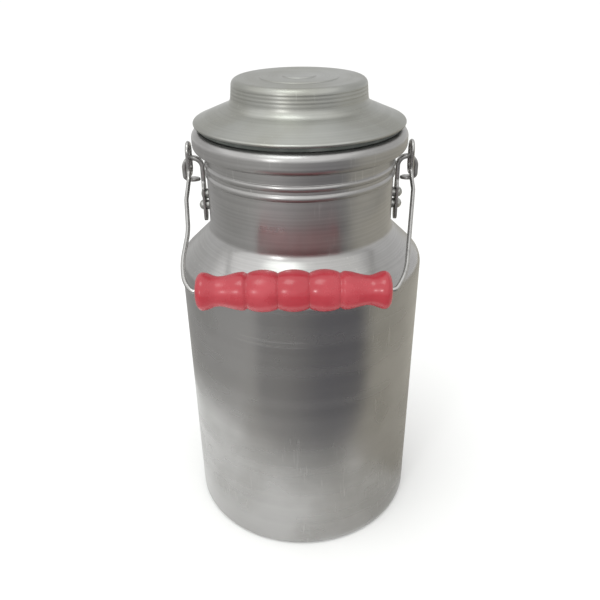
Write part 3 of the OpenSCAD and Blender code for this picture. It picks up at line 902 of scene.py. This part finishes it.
class MILKCAN_OT_grip(bpy.types.Operator):
    """Turns the grip: three bulges in the middle, then a waist and a flare towards each end"""
    bl_idname = "milkcan.grip"
    bl_label = "Grip"

    def execute(self, context):
        s = context.scene.bail_sizes
        lowest, highest = low("grip"), high("grip")
        centre = (lowest + highest) / 2
        half = (highest[0] - lowest[0]) / 2
        radius = (highest[2] - lowest[2]) / 2
        bore = s.wire + s.bore_play
        u = np.linspace(-1, 1, 401)
        v = np.abs(u)

        def hump(t):
            """One bulge between two grooves: 0.83 plus 0.17 times sine to the power 0.7."""
            return 0.83 + 0.17 * np.clip(np.sin(math.pi * t), 0, 1) ** 0.7

        def ease(a, b, t):
            """From a to b along half a cosine."""
            return a + (b - a) * (1 - np.cos(math.pi * np.clip(t, 0, 1))) / 2

        # share of the full radius: middle bulge, outer bulge, groove, waist, flare, rounded end
        share = np.select(
            [v < 0.16, v < 0.47, v < 0.52, v < 0.77, v < 0.93],
            [hump(0.5 + v / 0.32), hump((v - 0.16) / 0.31), ease(0.83, 0.91, (v - 0.47) / 0.05),
             ease(0.91, 0.71, (v - 0.52) / 0.25), ease(0.71, 0.9, (v - 0.77) / 0.16)],
            0.45 + 0.45 * np.sqrt(np.clip(1 - ((v - 0.93) / 0.07) ** 2, 0, 1)))
        chamfer = 0.3 * MM
        outline = joined([
            [bore, half - chamfer], [bore, -half + chamfer], [bore + chamfer, -half],
            np.column_stack([share * radius, u * half]),
            [bore + chamfer, half], [bore, half - 0.35 * MM]], 0.6 * MM)
        piece = revolved("grip_turned", outline, AROUND_GRIP, axis="X", centre=centre, ring=True)
        hand_over(piece, "grip", "grip_lacquer", "red_gloss_lacquer", "grip")
        return {"FINISHED"}


# ---- Stage

EYE_PLACE = (0, -0.37267, 0.34896)
EYE_TILT, EYE_ROLL = math.radians(61.43), -0.0098
LENS, SENSOR, SHIFT = 38.29, 36, (-0.00235, 0.0002)
FLOOR_RADIUS, FLAG_RADIUS = 9, 2.2
FLAG_START, FLAG_HEIGHT = 0.077, 0.002  # the flag starts beside the wall and lies 2 mm up


def soft_box(name, place, target, size, watts, tint):
    """A square soft light that faces a point."""
    light = bpy.data.lights.new(name, "AREA")
    light.shape = "RECTANGLE"
    light.size = light.size_y = size
    light.energy = watts
    light.color = tint
    lamp = place_in_scene(name, light)
    lamp.location = place
    lamp.rotation_euler = (Vector(target) - Vector(place)).to_track_quat("-Z", "Y").to_euler()


def lay_flag():
    """Lays a flat card round the can, just above the floor, that only mirrored light can see.

    Its points are (r sin a, -r cos a), with a the angle from the front towards the right. Its
    colours are painted reflections for the metal to mirror: as pale as the floor near the can, then
    painted shade that is grey further out and dark in front, off centre. The grey painted shade
    comes closer to the can on the right, away from the light, and the dark part starts further out
    at its two sides. A painted shadow of the can greys the card from the front round to its right
    side.
    """
    turn, share = np.meshgrid(np.radians(np.arange(-180, 180, 2)), np.linspace(0, 1, 120) ** 2)
    not_behind = 1 - smooth(2.2, 2.9, turn)
    # the grey painted shade comes closer to the can on the right, away from the light
    right = smooth(0.4, 1.5, turn) * not_behind
    front = smooth(-1.0, -0.7, turn) * (1 - smooth(0.9, 1.2, turn))
    edge = 0.178 - 0.106 * right - 0.024 * front * (1 - right)
    radius = FLAG_START + share * (FLAG_RADIUS - FLAG_START)
    # painted shadow of the can on the floor, from the front round to the right, seen only in
    # reflections
    shade = 0.5 * smooth(-0.2, 0.6, turn) * not_behind
    grey = np.maximum(smooth(edge - 0.015, edge + 0.025, radius), shade)
    # painted shade in front of the can, dark and off centre, seen only in reflections
    start = 0.146 + 0.045 * np.clip(np.abs(turn - 0.12) / 0.76, 0, 1.3) ** 3
    dark = (smooth(-0.78, -0.56, turn) * (0.55 + 0.45 * smooth(-0.5, 0.4, turn))
            * (1 - smooth(0.85, 1.2, turn)) * smooth(start - 0.012, start + 0.03, radius))
    points = np.stack([radius * np.sin(turn), -radius * np.cos(turn),
                       FLAG_HEIGHT + 0 * radius], axis=-1)
    mesh = bpy.data.meshes.new("flag")
    mesh.from_pydata(points.reshape(-1, 3).tolist(), [], grid_faces(*turn.shape).tolist())
    for key, values in (("grey", grey), ("dark", dark)):
        layer = mesh.attributes.new(key, "FLOAT", "POINT")
        layer.data.foreach_set("value", values.ravel().astype(np.float32))
    # the card's material paints the floor, the shade and the shadow that the metal mirrors
    material, add, shader, place = start_material("grey_felt")
    x = add("SeparateXYZ", [place]).outputs[0]
    grey_factor, dark_factor = [
        add("Attribute", attribute_name=key).outputs["Fac"]
        for key in ("grey", "dark")]
    # the grey is lighter and warmer towards the right: painted warm light from that side
    reflected_tone = add("Mix", {
        "Factor": add("MapRange", [x, -0.3, 0.2], **EASED),
        6: linear("A6A5A4"), 7: linear("B4B0A6")}, **BLEND)
    reflected_tone = add("Mix", {
        "Factor": grey_factor, 6: linear("F4F4F3"), 7: reflected_tone.outputs[2]}, **BLEND)
    reflected_tone = add("Mix", {
        "Factor": dark_factor, 6: reflected_tone.outputs[2], 7: linear("6A696D")}, **BLEND)
    feed(shader, {
        "Base Color": reflected_tone.outputs[2], "Roughness": 0.9, "Specular IOR Level": 0.0})
    mesh.materials.append(material)
    flag = place_in_scene("flag", mesh)
    flag.visible_camera = flag.visible_diffuse = flag.visible_shadow = False


class MILKCAN_OT_stage(bpy.types.Operator):
    """Lays the floor, hangs the lights and sets up the camera"""
    bl_idname = "milkcan.stage"
    bl_label = "Stage"

    def execute(self, context):
        scene = context.scene
        camera = bpy.data.cameras.new("camera")
        camera.sensor_width = SENSOR
        camera.lens = LENS
        camera.shift_x, camera.shift_y = SHIFT
        camera.clip_start, camera.clip_end = 0.01, 100
        eye = place_in_scene("camera", camera)
        eye.matrix_world = (Matrix.Translation(EYE_PLACE) @ Matrix.Rotation(EYE_TILT, 4, "X")
                            @ Matrix.Rotation(EYE_ROLL, 4, "Z"))
        scene.camera = eye

        a = np.arange(64) / 64 * 2 * math.pi
        points = np.column_stack([FLOOR_RADIUS * np.cos(a), FLOOR_RADIUS * np.sin(a), 0 * a])
        mesh = bpy.data.meshes.new("floor")
        mesh.from_pydata(points.tolist(), [], [list(range(len(a)))])
        mesh.materials.append(finish_material("paper_floor"))
        floor = place_in_scene("floor", mesh)
        lay_flag()

        soft_box("top_light", (-0.25, -0.35, 1.3), (0, 0, 0.1), 0.5, 2.6, (0.94, 1.0, 0.97))
        soft_box("front_light", (-0.5, -0.95, 0.56), (0, 0, 0.19), 0.12, 1.3, (1.0, 1.0, 1.0))
        # a sun as wide as this lights like a large panel overhead
        sky = bpy.data.lights.new("sky_panel", "SUN")
        sky.energy = 1.3
        sky.angle = math.radians(120)
        sky.color = (0.98, 0.985, 0.98)
        panel = place_in_scene("sky_panel", sky)
        panel.rotation_euler = (math.radians(25), math.radians(-12), 0)

        # white where the camera sees it, a little dimmer as a light
        world = bpy.data.worlds.new("studio")
        scene.world = world
        world.use_nodes = True
        world.node_tree.nodes.clear()
        add = partial(add_node, world.node_tree)
        seen = add("LightPath").outputs["Is Camera Ray"]
        level = add("MapRange", {"Value": seen, "To Min": 0.8, "To Max": 1.0})
        back = add("Background", {"Color": (1, 1, 1, 1), "Strength": level})
        add("OutputWorld", {"Surface": back})
        scene.view_settings.view_transform = "Standard"
        return {"FINISHED"}


# ---- Panel and registration

OPERATORS = (MILKCAN_OT_stage, MILKCAN_OT_body, MILKCAN_OT_lid, MILKCAN_OT_ears, MILKCAN_OT_rivets,
             MILKCAN_OT_bail, MILKCAN_OT_grip)


class MILKCAN_PT_panel(bpy.types.Panel):
    """Lists the sizes, the colours and the pieces of the can"""
    bl_idname = "MILKCAN_PT_panel"
    bl_label = "Milk Can"
    bl_space_type = "VIEW_3D"
    bl_region_type = "UI"
    bl_category = "Milk Can"

    def draw(self, context):
        for key, group in GROUPS:
            box = self.layout.box()
            for name in group.__annotations__:
                box.prop(getattr(context.scene, key), name)
        for operator in OPERATORS:
            self.layout.operator(operator.bl_idname)


def register():
    """Registers every class and hangs the property groups on the scene."""
    for key, group in GROUPS:
        bpy.utils.register_class(group)
        setattr(bpy.types.Scene, key, bpy.props.PointerProperty(type=group))
    for cls in (*OPERATORS, MILKCAN_PT_panel):
        bpy.utils.register_class(cls)


def unregister():
    """Takes everything off again, last registered first."""
    for cls in reversed((*OPERATORS, MILKCAN_PT_panel)):
        bpy.utils.unregister_class(cls)
    for key, group in reversed(GROUPS):
        delattr(bpy.types.Scene, key)
        bpy.utils.unregister_class(group)


def main():
    register()
    for operator in OPERATORS:
        group, name = operator.bl_idname.split(".")
        getattr(getattr(bpy.ops, group), name)()


if __name__ == "__main__":
    main()
